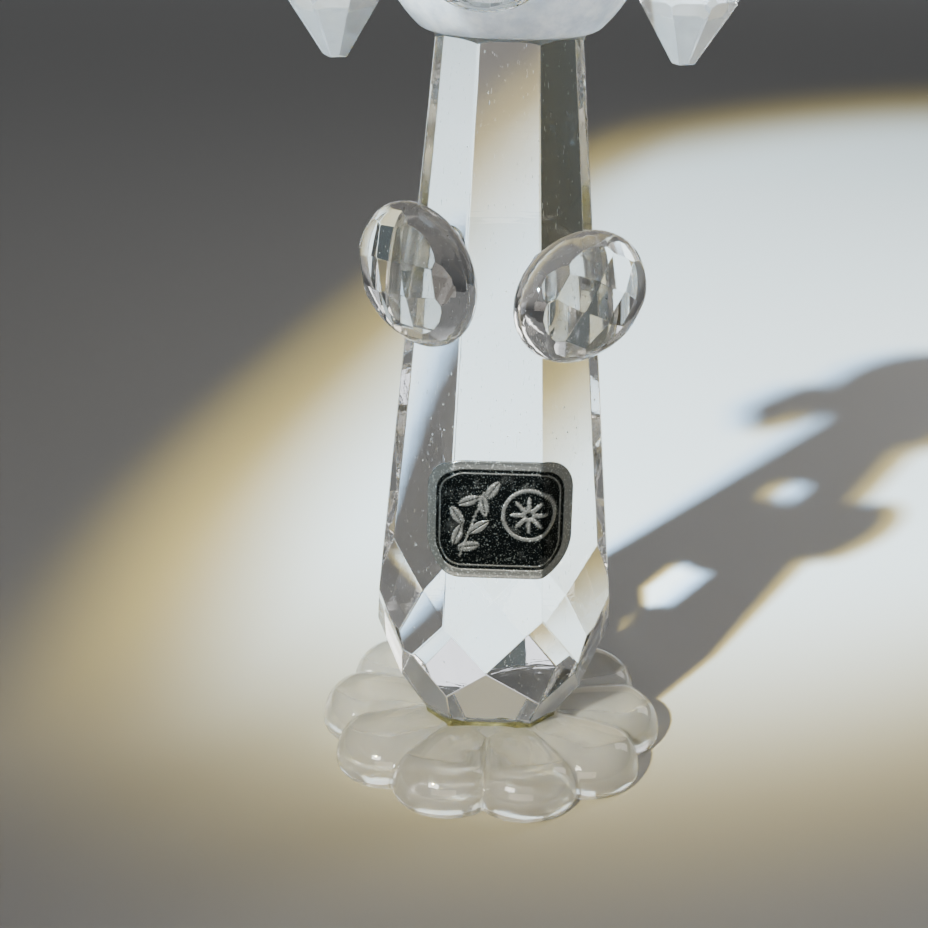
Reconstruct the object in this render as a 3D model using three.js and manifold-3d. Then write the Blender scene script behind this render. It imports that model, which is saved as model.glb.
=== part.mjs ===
// A dog figurine glued together from cut-crystal pieces: an upright octagonal prism stands on a
// pressed-glass rosette, carries a frosted ball as its head and two faceted stones as its paws, and
// two drops hang beside the head on pins as its ears.
// Millimetres, +Z up. The front is -Y, and the origin is the middle of the foot's flat underside.
import * as THREE from "three";
import { mergeVertices } from "three/addons/utils/BufferGeometryUtils.js";
import Module from "manifold-3d";

const wasm = await Module();
wasm.setup();

// ---------------------------------------------------------------- driving dimensions

const GLUE_GAP = 0.1; // air left where one piece is cut to the shape of its neighbour
const PIN_GAP = 0.3; // air between a pin and the hole it sits in

const FOOT = {
  petals: 10,
  radius: 22.2, // to the middle of a petal's end
  notchRadius: 19.5, // to the valley between two petals
  hubRadius: 9.3,
  hubHeight: 5,
  crown: 0.8, // rise of a petal's ridge above the hub
  crownEnd: 0.45, // share of a petal's length over which its ridge rises
  valleyEnd: 3.9, // height of a valley where it stops sloping
  valleyLength: 0.8, // share of a petal's length over which its valleys slope
  turn: -1.8, // azimuth of the valley nearest the front
};

const BODY = {
  sides: 8,
  acrossFlats: 28.5, // at the widest level
  baseZ: 5.5,
  wideZ: 23.2, // top corners of the kite facets
  kiteSideZ: 16, // side corners of the kite facets
  neckZ: 90.1,
  neckRadius: 8.76, // to the corners of the octagon
  lowerTilt: -32.6, // of the lowest facets
};

// The facets are cut by hand, so those at the front differ a little from the regular ones.
// A kite's number counts from the first corner right of the front face, a lower facet's from the
// front face, both towards +X. `turn` is in azimuth and `out` is how far a facet stands out.
const KITE_VARIATIONS = {
  0: { topZ: 23.8, tilt: -13.4, turn: -2.2 },
  7: { topZ: 22.6, tilt: -14.2, turn: 0.5 },
};
const LOWER_VARIATIONS = {
  0: { tilt: -32.8, out: -0.46 },
  1: { tilt: -31, out: 0.42 },
  7: { tilt: -27, out: -0.54 },
};

const HEAD = { radius: 15, flatRadius: 9.77, flatZ: 90.4 };

const LABEL = { left: -8.1, right: 9, bottom: 29.2, top: 43.5, corner: 4.4, thickness: 0.2 };

// A paw's place is the azimuth, distance and height of its middle. Its front faces the azimuth
// `facing`, and `spin` turns its long axis in its own plane, from upright, towards the figurine's left.
const PAWS = {
  left: { azimuth: -43.5, distance: 13.75, z: 64.8, facing: -41.7, spin: -55 },
  right: { azimuth: 38.3, distance: 14.1, z: 63, facing: 37, spin: 77 },
};
const PAW = { long: 8.9, short: 7.1, front: 4.2, back: 2.6, tilt: 5.3, padAcross: 4.3, padUp: 5.6 };

// How an oval stone is cut: a chequerboard of facets on its front, and a fine smooth rim. Spacing
// and reach are shares of the stone's half width.
const OVAL_CUT = {
  spacing: 0.3,
  reach: 0.87,
  rimSides: 32,
  rimLatitudes: [-30, -20, -10, 0, 7, 14, 21],
};

// The face is glued on a little to the figurine's own right and below the ball's middle.
const FACE = { azimuth: -9, elevation: -8.6 };
const MUZZLE = {
  halfAcross: 6.8,
  halfUp: 5.3,
  front: 2.6,
  back: 1.8,
  backAt: 15.5, // from the ball's middle to the stone's flat back
  glueRadius: 4.2,
};
const NOSE = { radius: 2.5, depth: 1.8 };
const EYE = { radius: 1.7, depth: 1.2, azimuth: 22, elevation: 17 };

const EAR = {
  x: 19.4,
  tipZ: 86.9,
  wideZ: 94,
  topZ: 104.4,
  halfWidth: 5.48,
  lowerAngle: 31, // of the lower facets to the axis
  upperAngle: 17,
  shoulderAngle: 33,
  shoulderRadius: 3.1,
  shoulderZ: 102.4,
  tipAngle: 62,
  tipRadius: 0.9,
  beltRadius: 5.65,
};
const EAR_SIDES = 8;
const TIP_SIDES = 4;
const PIN = { radius: 0.5, innerX: 12, outerX: 23.5, beadRadius: 1 };

// ---------------------------------------------------------------- solids and facets

const radians = THREE.MathUtils.degToRad;
const MERGE = 1e-4; // points closer than this are one point
const BAR_SIDES = 24; // of a wide round piece
const WIRE_SIDES = 12; // of a thin one
const PAD_SIDES = 36;
const BALL_SEGMENTS = [36, 18];
const BEAD_SEGMENTS = [20, 10];
const PIN_BEAD_SEGMENTS = [16, 8];
const CORNER_SEGMENTS = 6; // of a rounded corner of the label
const STONE_BLOCK = 300; // the rough block that every cut stone starts from
const EIGHTH = 360 / BODY.sides;

// The solid of a closed geometry.
function solidOf(geometry) {
  const bare = geometry.clone();
  bare.deleteAttribute("normal");
  bare.deleteAttribute("uv");
  const merged = mergeVertices(bare, MERGE);
  return new wasm.Manifold(
    new wasm.Mesh({
      numProp: 3,
      vertProperties: new Float32Array(merged.attributes.position.array),
      triVerts: new Uint32Array(merged.index.array),
    }),
  );
}

function geometryOf(solid) {
  const mesh = solid.getMesh();
  return new THREE.BufferGeometry()
    .setAttribute("position", new THREE.BufferAttribute(mesh.vertProperties, 3))
    .setIndex(new THREE.BufferAttribute(mesh.triVerts, 1));
}

// The unit vector at an azimuth from the front (-Y) towards +X, tilted up by `tilt`.
function direction(azimuth, tilt = 0) {
  const a = radians(azimuth);
  const t = radians(tilt);
  return new THREE.Vector3(Math.sin(a) * Math.cos(t), -Math.cos(a) * Math.cos(t), Math.sin(t));
}

// A facet whose plane passes through radius r at height z, facing an azimuth and tilted up.
function facet(azimuth, tilt, r, z) {
  const t = radians(tilt);
  return { normal: direction(azimuth, tilt), distance: r * Math.cos(t) + z * Math.sin(t) };
}

// `count` equal facets around the axis.
function facetRing(count, firstAzimuth, tilt, r, z) {
  return Array.from({ length: count }, (_, k) =>
    facet(firstAzimuth + (k * 360) / count, tilt, r, z),
  );
}

const cutAbove = (z) => facet(0, 90, 0, z);
const cutBelow = (z) => facet(0, -90, 0, z);

// The facet that touches an ellipsoid of semi-axes x, y and z where a point of the unit sphere goes.
function touching(size, point) {
  const normal = point.clone().divide(size);
  const distance = 1 / normal.length();
  return { normal: normal.normalize(), distance };
}

// A stone ground out of its block by flat facets. `grow` moves every facet outwards.
function cutStone(facets, grow = 0) {
  const block = solidOf(new THREE.BoxGeometry(STONE_BLOCK, STONE_BLOCK, STONE_BLOCK));
  return facets.reduce((stone, { normal, distance }) => {
    const inwards = normal.clone().negate();
    return stone.trimByPlane(inwards.toArray(), -(distance + grow));
  }, block);
}

// A round bar along the direction from one point to another.
function bar(from, to, radius, sides = BAR_SIDES) {
  const length = from.distanceTo(to);
  const geometry = new THREE.CylinderGeometry(radius, radius, length, sides);
  const along = to.clone().sub(from).normalize();
  const turn = new THREE.Quaternion().setFromUnitVectors(new THREE.Vector3(0, 1, 0), along);
  const middle = from.clone().add(to).multiplyScalar(0.5);
  return geometry.applyQuaternion(turn).translate(middle.x, middle.y, middle.z);
}

// ---------------------------------------------------------------- materials

const crystal = (color = 0xf2f4f6) => ({ color, roughness: 0.04, transparent: true, opacity: 0.4 });
const MATERIALS = {
  crystal: crystal(),
  pressed: { ...crystal(0xe9e8e2), roughness: 0.12 },
  milky: { ...crystal(0xe8eef2), roughness: 0.25, opacity: 0.65 },
  frosted: { color: 0xe6e9ea, roughness: 0.75 },
  glue: { color: 0xe9e3c0, roughness: 0.3, transparent: true, opacity: 0.7 },
  foil: { color: 0x34373a, roughness: 0.35, metalness: 0.9 },
  black: { color: 0x0c0c0d, roughness: 0.08 },
  wire: { color: 0xc9c9c6, roughness: 0.3, metalness: 1 },
};

const figurine = new THREE.Group();

// Adds one piece to a group, by default the whole figurine.
function add(name, geometry, material, group = figurine) {
  const flat = new THREE.MeshStandardMaterial({ flatShading: true, ...MATERIALS[material] });
  const mesh = new THREE.Mesh(geometry, flat);
  mesh.name = name;
  group.add(mesh);
  return mesh;
}

// ---------------------------------------------------------------- foot

const PETAL_COLUMNS = 8;
const PETAL_RINGS = [0.12, 0.28, 0.5, 0.7, 0.8, 0.88, 0.94, 0.985];
const ROUNDED_END = 0.7; // share of a petal's length where its end starts to round over
const FOOT_EDGE_Z = 0.9; // height of the widest level
const FOOT_UNDERCUT = 0.5; // how far the flat underside is inside the widest level

// Radius of the foot's outline at `across`, which runs from -1 to 1 over one petal: an arc
// through the petal's end and its two notches.
function petalOutline(across) {
  const half = Math.PI / FOOT.petals;
  const rise = FOOT.radius - FOOT.notchRadius * Math.cos(half);
  const chord = FOOT.notchRadius * Math.sin(half);
  const arcRadius = (rise * rise + chord * chord) / (2 * rise);
  const middle = FOOT.radius - arcRadius;
  const angle = across * half;
  const offset = middle * Math.sin(angle);
  return middle * Math.cos(angle) + Math.sqrt(arcRadius * arcRadius - offset * offset);
}

// Height of the foot's top at `along` (0 at the hub, 1 at the outline) and `across` a petal.
function petalHeight(along, across) {
  const over = Math.max(0, (along - ROUNDED_END) / (1 - ROUNDED_END));
  const end = Math.sqrt(1 - over * over);
  const rise = Math.sin((Math.PI / 2) * Math.min(1, along / FOOT.crownEnd));
  const ridge = FOOT.hubHeight + FOOT.crown * rise;
  const slope = Math.min(1, along / FOOT.valleyLength);
  const valley = THREE.MathUtils.lerp(FOOT.hubHeight, FOOT.valleyEnd, slope);
  const bulge = Math.sqrt(1 - across * across);
  const full = THREE.MathUtils.lerp(valley, ridge, bulge);
  return FOOT_EDGE_Z + (full - FOOT_EDGE_Z) * end;
}

function footGeometry() {
  const columns = FOOT.petals * PETAL_COLUMNS;
  const rings = [];
  const ringOf = (radiusAt, heightAt) =>
    Array.from({ length: columns }, (_, j) => {
      const across = ((j % PETAL_COLUMNS) / PETAL_COLUMNS) * 2 - 1;
      const azimuth = FOOT.turn + (j * 360) / columns;
      return direction(azimuth).multiplyScalar(radiusAt(across)).setZ(heightAt(across));
    });
  rings.push(ringOf(() => FOOT.hubRadius, () => FOOT.hubHeight));
  for (const along of PETAL_RINGS)
    rings.push(
      ringOf(
        (across) => THREE.MathUtils.lerp(FOOT.hubRadius, petalOutline(across), along),
        (across) => petalHeight(along, across),
      ),
    );
  rings.push(ringOf(petalOutline, () => FOOT_EDGE_Z));
  rings.push(ringOf((across) => petalOutline(across) - FOOT_UNDERCUT, () => 0));

  const points = rings.flat();
  const topMiddle = points.push(new THREE.Vector3(0, 0, FOOT.hubHeight)) - 1;
  const bottomMiddle = points.push(new THREE.Vector3(0, 0, 0)) - 1;
  const last = (rings.length - 1) * columns;
  const triangles = [];
  for (let j = 0; j < columns; j++) {
    const next = (j + 1) % columns;
    triangles.push(topMiddle, j, next, bottomMiddle, last + next, last + j);
    for (let k = 0; k < last; k += columns) {
      triangles.push(k + j, k + columns + j, k + next);
      triangles.push(k + next, k + columns + j, k + columns + next);
    }
  }
  return new THREE.BufferGeometry().setFromPoints(points).setIndex(triangles);
}

add("foot_rosette", footGeometry(), "pressed");

// ---------------------------------------------------------------- body

const halfSide = Math.cos(radians(EIGHTH / 2));
const wideRadius = BODY.acrossFlats / 2 / halfSide;
const taper = (wideRadius - BODY.neckRadius) / (BODY.neckZ - BODY.wideZ);
const cornerRadius = (z) => wideRadius + (BODY.wideZ - z) * taper;
const tiltOf = (slope) => (Math.atan(slope) * 180) / Math.PI;

const sideFacets = facetRing(BODY.sides, 0, tiltOf(taper * halfSide), BODY.acrossFlats / 2, BODY.wideZ);

// A kite facet runs from its top corner on a long edge to its side corners in the middle of the faces.
const sideCornerRadius = cornerRadius(BODY.kiteSideZ) * halfSide;
const kiteSlope = (wideRadius - sideCornerRadius * halfSide) / (BODY.wideZ - BODY.kiteSideZ);
const kiteFacets = Array.from({ length: BODY.sides }, (_, k) => {
  const regular = { topZ: BODY.wideZ, tilt: -tiltOf(kiteSlope), turn: 0 };
  const { topZ, tilt, turn } = { ...regular, ...KITE_VARIATIONS[k] };
  return facet(EIGHTH * (k + 0.5) + turn, tilt, cornerRadius(topZ), topZ);
});
const lowerFacets = Array.from({ length: BODY.sides }, (_, k) => {
  const { tilt, out } = { tilt: BODY.lowerTilt, out: 0, ...LOWER_VARIATIONS[k] };
  return facet(EIGHTH * k, tilt, sideCornerRadius + out, BODY.kiteSideZ);
});
const bodyFacets = [
  ...sideFacets,
  ...kiteFacets,
  ...lowerFacets,
  cutAbove(BODY.neckZ),
  cutBelow(BODY.baseZ),
];
const bodyShape = cutStone(bodyFacets);
const aroundBody = cutStone(bodyFacets, GLUE_GAP);
add("body_prism", geometryOf(bodyShape), "crystal");

// ---------------------------------------------------------------- glue at the foot and the neck

const FOOT_GLUE = {
  inset: 0.25,
  points: 40,
  waves: [
    { lobes: 3, size: 0.12 },
    { lobes: 7, size: 0.08 },
  ],
};

// A thin uneven disc of glue between the hub and the prism's base.
function footGlue() {
  const { inset, points, waves } = FOOT_GLUE;
  const outline = new THREE.Shape(
    Array.from({ length: points }, (_, k) => {
      const angle = (k * 2 * Math.PI) / points;
      const r = waves.reduce(
        (sum, { lobes, size }) => sum + size * Math.sin(lobes * angle),
        FOOT.hubRadius - inset,
      );
      return new THREE.Vector2(r * Math.cos(angle), r * Math.sin(angle));
    }),
  );
  const depth = BODY.baseZ - FOOT.hubHeight;
  return new THREE.ExtrudeGeometry(outline, { depth, bevelEnabled: false }).translate(
    0,
    0,
    FOOT.hubHeight,
  );
}
add("foot_glue", footGlue(), "glue");

// A cap of glue under the ball that laps a little way down the prism's faces.
const NECK_LAP = 0.5;
const NECK_LIP = 0.5; // how far the glue stands out around the prism's end
const neckGlue = cutStone([
  ...facetRing(BODY.sides, 0, 0, BODY.neckRadius * halfSide + NECK_LIP, 0),
  cutAbove(HEAD.flatZ),
  cutBelow(BODY.neckZ - NECK_LAP),
]).subtract(cutStone([...sideFacets, cutAbove(BODY.neckZ), cutBelow(BODY.baseZ)], GLUE_GAP));
add("neck_glue", geometryOf(neckGlue), "glue");

// ---------------------------------------------------------------- foil label

// A rounded rectangle of foil, folded over the front edges of the prism.
function labelOutline() {
  const { left, right, bottom, top, corner } = LABEL;
  const shape = new THREE.Shape();
  shape.moveTo(left + corner, bottom);
  shape.lineTo(right - corner, bottom);
  shape.absarc(right - corner, bottom + corner, corner, -Math.PI / 2, 0);
  shape.lineTo(right, top - corner);
  shape.absarc(right - corner, top - corner, corner, 0, Math.PI / 2);
  shape.lineTo(left + corner, top);
  shape.absarc(left + corner, top - corner, corner, Math.PI / 2, Math.PI);
  shape.lineTo(left, bottom + corner);
  shape.absarc(left + corner, bottom + corner, corner, Math.PI, 1.5 * Math.PI);
  return shape;
}
const labelBlock = new THREE.ExtrudeGeometry(labelOutline(), {
  depth: BODY.acrossFlats / 2,
  bevelEnabled: false,
  curveSegments: CORNER_SEGMENTS,
}).rotateX(Math.PI / 2);
const label = cutStone(bodyFacets, GLUE_GAP + LABEL.thickness)
  .subtract(aroundBody)
  .intersect(solidOf(labelBlock));
add("foil_label", geometryOf(label), "foil");

// ---------------------------------------------------------------- paws

// Facets on the front of an ellipsoid, laid out as a chequerboard that stands on its corner.
function chequeredFacets(size) {
  const { spacing, reach } = OVAL_CUT;
  const steps = Math.floor(reach / spacing);
  const facets = [];
  for (let i = -steps; i <= steps; i++)
    for (let j = -steps; j <= steps; j++) {
      const out = Math.hypot(i, j) * spacing;
      if ((i + j) % 2 !== 0 || out > reach) continue;
      const point = new THREE.Vector3(i * spacing, j * spacing, Math.sqrt(1 - out * out));
      facets.push(touching(size, point));
    }
  return facets;
}

function rimFacets(size) {
  const { rimSides, rimLatitudes } = OVAL_CUT;
  const step = 360 / rimSides;
  return rimLatitudes.flatMap((latitude, row) =>
    Array.from({ length: rimSides }, (_, k) =>
      touching(size, direction(step * (k + (row % 2) / 2), latitude)),
    ),
  );
}

// A flat-backed oval stone in its own frame: x across, y along its long axis, z out of its front.
function ovalStone(halfAcross, halfAlong, front, back) {
  const size = new THREE.Vector3(halfAcross, halfAlong, front);
  return cutStone([...rimFacets(size), ...chequeredFacets(size), cutBelow(-back)]);
}

// A group whose +Z faces an azimuth and a tilt, with its +X level and its +Y as upright as it can be.
function facingGroup(azimuth, tilt, position) {
  const group = new THREE.Group();
  const out = direction(azimuth, tilt);
  const across = new THREE.Vector3(0, 0, 1).cross(out).normalize();
  const upright = out.clone().cross(across);
  group.quaternion.setFromRotationMatrix(new THREE.Matrix4().makeBasis(across, upright, out));
  group.position.copy(position);
  figurine.add(group);
  return group;
}

const PAD_DEPTH = 3; // deep enough to reach into the prism everywhere, before it is cut to shape

// The outline of a paw's glue pad: a rectangle with very round corners.
function padOutline() {
  const rounded = (share) => Math.sign(share) * Math.sqrt(Math.abs(share));
  const points = Array.from({ length: PAD_SIDES }, (_, k) => {
    const angle = ((k + 0.5) * 2 * Math.PI) / PAD_SIDES;
    const x = PAW.padAcross * rounded(Math.cos(angle));
    return new THREE.Vector2(x, PAW.padUp * rounded(Math.sin(angle)));
  });
  return new THREE.Shape(points);
}

for (const [side, paw] of Object.entries(PAWS)) {
  const middle = direction(paw.azimuth).multiplyScalar(paw.distance).setZ(paw.z);
  const group = facingGroup(paw.facing, PAW.tilt, middle);
  const stone = ovalStone(PAW.short, PAW.long, PAW.front, PAW.back);
  add(`paw_${side}`, geometryOf(stone).rotateZ(radians(-paw.spin)), "crystal", group);

  group.updateMatrixWorld();
  const block = new THREE.ExtrudeGeometry(padOutline(), { depth: PAD_DEPTH, bevelEnabled: false })
    .translate(0, 0, -PAW.back - GLUE_GAP - PAD_DEPTH)
    .applyMatrix4(group.matrixWorld);
  add(`paw_glue_${side}`, geometryOf(solidOf(block).subtract(aroundBody)), "glue");
}

// ---------------------------------------------------------------- head

const headMiddle = new THREE.Vector3(
  0,
  0,
  HEAD.flatZ + Math.sqrt(HEAD.radius ** 2 - HEAD.flatRadius ** 2),
);
const ballGeometry = (radius) =>
  new THREE.SphereGeometry(radius, ...BALL_SEGMENTS)
    .rotateX(Math.PI / 2)
    .translate(headMiddle.x, headMiddle.y, headMiddle.z);
const pinAt = (side, x) => new THREE.Vector3(side * x, 0, headMiddle.z);

// The ball, ground flat underneath and drilled at both sides for the ear pins.
let head = solidOf(ballGeometry(HEAD.radius)).trimByPlane([0, 0, 1], HEAD.flatZ);
for (const side of [-1, 1]) {
  const inner = pinAt(side, PIN.innerX - PIN_GAP);
  const outer = pinAt(side, HEAD.radius + 1);
  head = head.subtract(solidOf(bar(inner, outer, PIN.radius + PIN_GAP, WIRE_SIDES)));
}
add("head_ball", geometryOf(head), "frosted");

// ---------------------------------------------------------------- muzzle, nose and eyes

const muzzleOut = direction(FACE.azimuth, FACE.elevation);
const fromHead = (distance) => headMiddle.clone().addScaledVector(muzzleOut, distance);
const muzzleMiddle = MUZZLE.backAt + MUZZLE.back;
const muzzleGroup = facingGroup(FACE.azimuth, FACE.elevation, fromHead(muzzleMiddle));
const muzzle = ovalStone(MUZZLE.halfAcross, MUZZLE.halfUp, MUZZLE.front, MUZZLE.back);
add("muzzle_stone", geometryOf(muzzle), "crystal", muzzleGroup);

const aroundHead = solidOf(ballGeometry(HEAD.radius + GLUE_GAP));
const muzzlePad = bar(
  fromHead(HEAD.radius - PAD_DEPTH),
  fromHead(MUZZLE.backAt - GLUE_GAP),
  MUZZLE.glueRadius,
);
add("muzzle_glue", geometryOf(solidOf(muzzlePad).subtract(aroundHead)), "glue");

// A domed bead with a flat back, on the XY plane.
function domedBead(radius, depth) {
  const dome = solidOf(new THREE.SphereGeometry(radius, ...BEAD_SEGMENTS).rotateX(Math.PI / 2));
  return geometryOf(dome.trimByPlane([0, 0, 1], 0)).scale(1, 1, depth / radius);
}

const noseGroup = facingGroup(
  FACE.azimuth,
  FACE.elevation,
  fromHead(muzzleMiddle + MUZZLE.front + GLUE_GAP),
);
add("nose_bead", domedBead(NOSE.radius, NOSE.depth), "black", noseGroup);

for (const [side, sign] of [
  ["left", -1],
  ["right", 1],
]) {
  const azimuth = FACE.azimuth + sign * EYE.azimuth;
  const seat = direction(azimuth, EYE.elevation).multiplyScalar(HEAD.radius + GLUE_GAP);
  const group = facingGroup(azimuth, EYE.elevation, headMiddle.clone().add(seat));
  add(`eye_${side}`, domedBead(EYE.radius, EYE.depth), "black", group);
}

// ---------------------------------------------------------------- ears and their pins

// A faceted drop with a blunt tip, its widest level low down.
const EAR_TURN = 180 / EAR_SIDES;
const dropFacets = [
  ...facetRing(EAR_SIDES, 0, -EAR.lowerAngle, EAR.halfWidth, EAR.wideZ),
  ...facetRing(EAR_SIDES, EAR_TURN, 0, EAR.beltRadius, EAR.wideZ),
  ...facetRing(EAR_SIDES, 0, EAR.upperAngle, EAR.halfWidth, EAR.wideZ),
  ...facetRing(EAR_SIDES, EAR_TURN, EAR.shoulderAngle, EAR.shoulderRadius, EAR.shoulderZ),
  ...facetRing(TIP_SIDES, EAR_TURN, -EAR.tipAngle, EAR.tipRadius, EAR.tipZ),
  cutAbove(EAR.topZ),
  cutBelow(EAR.tipZ),
];

for (const [name, side] of [
  ["left", -1],
  ["right", 1],
]) {
  const bore = bar(pinAt(-1, EAR.x), pinAt(1, EAR.x), PIN.radius + PIN_GAP, WIRE_SIDES);
  const pierced = cutStone(dropFacets).subtract(solidOf(bore));
  const drop = geometryOf(pierced).translate(side * EAR.x, 0, 0);
  add(`ear_${name}`, drop, "milky");

  const end = pinAt(side, PIN.outerX);
  const shaft = solidOf(bar(pinAt(side, PIN.innerX), end, PIN.radius, WIRE_SIDES));
  const ball = new THREE.SphereGeometry(PIN.beadRadius, ...PIN_BEAD_SEGMENTS);
  const bead = ball.translate(end.x, end.y, end.z);
  add(`ear_pin_${name}`, geometryOf(shaft.add(solidOf(bead))), "wire");
}

export default figurine;
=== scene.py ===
"""A cut-crystal dog figurine on a pale studio floor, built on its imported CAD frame.

Every length is in metres. The front is -Y and the floor is at Z = 0.
"""

import math

import bmesh
import bpy
from mathutils import Matrix, Vector, noise


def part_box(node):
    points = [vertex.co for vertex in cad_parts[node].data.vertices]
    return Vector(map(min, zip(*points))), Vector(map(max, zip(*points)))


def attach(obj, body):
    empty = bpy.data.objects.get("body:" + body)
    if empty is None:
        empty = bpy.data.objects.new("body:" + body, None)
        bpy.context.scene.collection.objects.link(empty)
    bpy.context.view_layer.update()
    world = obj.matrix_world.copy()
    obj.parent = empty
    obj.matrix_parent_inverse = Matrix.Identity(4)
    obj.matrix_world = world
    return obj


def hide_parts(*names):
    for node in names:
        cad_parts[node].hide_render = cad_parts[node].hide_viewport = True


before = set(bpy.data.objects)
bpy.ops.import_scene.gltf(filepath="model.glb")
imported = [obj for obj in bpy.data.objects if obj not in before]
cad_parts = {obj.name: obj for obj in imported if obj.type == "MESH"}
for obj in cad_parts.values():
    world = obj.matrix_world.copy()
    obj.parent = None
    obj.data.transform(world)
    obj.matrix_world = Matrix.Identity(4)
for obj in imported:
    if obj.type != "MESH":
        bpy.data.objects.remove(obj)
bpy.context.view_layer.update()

MM = 0.001
QUARTER = math.pi / 2
FULL = 2 * math.pi
FIGURE = "figure"
SIDES = ("left", "right")

# ------------------------------------------------------------------ directions and boxes


def direction(azimuth, tilt=0.0):
    """The unit vector at an azimuth in degrees from the front towards +X, tilted up."""
    a, t = math.radians(azimuth), math.radians(tilt)
    return Vector((math.sin(a) * math.cos(t), -math.cos(a) * math.cos(t), math.sin(t)))


def on_axis(z):
    return Vector((0, 0, z))


def around(radius, angle, z):
    """The point at a radius, an angle from +X and a height."""
    return Vector((radius * math.cos(angle), radius * math.sin(angle), z))


def low_z(node_name):
    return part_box(node_name)[0].z


def high_z(node_name):
    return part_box(node_name)[1].z


def centre_of(node_name):
    low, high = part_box(node_name)
    return (low + high) / 2


def smoothstep(low, high, x):
    t = min(1.0, max(0.0, (x - low) / (high - low)))
    return t * t * (3 - 2 * t)


def turn_between(a, b):
    """The signed angle from b to a, between -pi and pi."""
    return ((a - b + math.pi) % FULL) - math.pi


# ------------------------------------------------------------------ meshes


def mesh_object(name, bm, material, smooth=False):
    mesh = bpy.data.meshes.new(name)
    bm.to_mesh(mesh)
    bm.free()
    if smooth:
        mesh.shade_smooth()
    mesh.materials.append(material)
    made = bpy.data.objects.new(name, mesh)
    bpy.context.scene.collection.objects.link(made)
    return made


def new_piece(name, bm, material, replaces, body=FIGURE, smooth=True):
    """A finished piece: its mesh, material and body, and the CAD node that it stands for."""
    bmesh.ops.recalc_face_normals(bm, faces=bm.faces)
    piece = mesh_object(name, bm, material, smooth)
    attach(piece, body)
    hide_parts(replaces)
    return piece


def loft(rings, start, end):
    """A closed surface through rings of equally many points, with a fan to a point at each end."""
    bm = bmesh.new()
    rows = [[bm.verts.new(p) for p in ring] for ring in rings]
    count = len(rows[0])
    for upper, lower in zip(rows, rows[1:]):
        for j in range(count):
            k = (j + 1) % count
            bm.faces.new((upper[j], upper[k], lower[k], lower[j]))
    for row, point in ((rows[0], start), (rows[-1], end)):
        tip = bm.verts.new(point)
        for j in range(count):
            bm.faces.new((row[j], row[(j + 1) % count], tip))
    return bm


def turned(profile, columns, place):
    """A closed piece of revolution about its own Z, from a profile of (radius, height) pairs."""
    rings = [
        [place @ around(r, FULL * j / columns, z) for j in range(columns)]
        for r, z in profile[1:-1]
    ]
    return loft(rings, place @ on_axis(profile[0][1]), place @ on_axis(profile[-1][1]))


def facing(out, position):
    """A matrix whose Z is `out`, whose X is level, and whose origin is `position`."""
    across = Vector((0, 0, 1)).cross(out).normalized()
    upright = out.cross(across)
    turn = Matrix((across, upright, out)).transposed().to_4x4()
    return Matrix.Translation(position) @ turn


# ------------------------------------------------------------------ cut stones

WELD = 1e-6
SAME_PLANE = math.radians(0.6)  # facets nearer than this in direction are one facet
SHARP_EDGE = math.radians(3)
SIDEWAYS = 0.05  # a facet facing less than this share along a ray doesn't bound it


def facets_of(node_name):
    """A bmesh of a CAD node with one face for each flat facet."""
    bm = bmesh.new()
    bm.from_mesh(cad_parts[node_name].data)
    bmesh.ops.remove_doubles(bm, verts=bm.verts, dist=WELD)
    bmesh.ops.dissolve_limit(bm, angle_limit=SAME_PLANE, verts=bm.verts, edges=bm.edges)
    bm.normal_update()
    return bm


def polished_stone(node_name, material, edge, body=FIGURE, smallest_flat=0.0):
    """A CAD stone's facets with the narrow rounded edges that polishing leaves.

    Facets smaller than `smallest_flat`, in square metres, are a fine cut rim and are shaded smooth.
    """
    bm = facets_of(node_name)
    flat = {f for f in bm.faces if f.calc_area() > smallest_flat}
    for face in bm.faces:
        face.smooth = face not in flat
    sharp = [
        e
        for e in bm.edges
        if e.calc_face_angle(0) > SHARP_EDGE and any(f in flat for f in e.link_faces)
    ]
    cut = bmesh.ops.bevel(
        bm,
        geom=sharp,
        offset=edge,
        segments=2,
        profile=0.5,
        affect="EDGES",
        clamp_overlap=True,
    )
    for face in cut["faces"]:
        face.smooth = True
    return new_piece(f"{node_name}_cut", bm, material, node_name, body, smooth=False)


def planes_of(node_name):
    """The outward normals and distances of a convex CAD node's facets."""
    bm = facets_of(node_name)
    found = [(f.normal.copy(), f.normal.dot(f.calc_center_median())) for f in bm.faces]
    bm.free()
    return found


def flat_back(node_name):
    """The outward normal and the middle of a stone's largest facet, its flat back."""
    bm = facets_of(node_name)
    face = max(bm.faces, key=lambda f: f.calc_area())
    found = face.normal.copy(), face.calc_center_median()
    bm.free()
    return found


BODY_PLANES = planes_of("body_prism")


def body_radius(angle, z):
    """How far the prism reaches from its axis at a height, in the direction of an angle."""
    out = Vector((math.cos(angle), math.sin(angle), 0))
    return min(
        (d - n.z * z) / n.dot(out) for n, d in BODY_PLANES if n.dot(out) > SIDEWAYS
    )


def drop_to_body(point, out):
    """Where a line from a point outside the prism, against `out`, meets the prism."""
    travel = max(
        (n.dot(point) - d) / n.dot(out) for n, d in BODY_PLANES if n.dot(out) > SIDEWAYS
    )
    return point - out * travel


# ------------------------------------------------------------------ material helpers


def material_tree(name, values):
    """A new material with its Principled BSDF's own sockets set."""
    material = bpy.data.materials.new(name)
    material.use_nodes = True
    tree = material.node_tree
    shader = tree.nodes["Principled BSDF"]
    for key, value in values.items():
        shader.inputs[key].default_value = value
    return material, tree, shader


def feed(tree, socket, value):
    """Links another node's socket to a socket, or sets it to a plain value."""
    if isinstance(value, bpy.types.NodeSocket):
        tree.links.new(value, socket)
    else:
        socket.default_value = value


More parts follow.
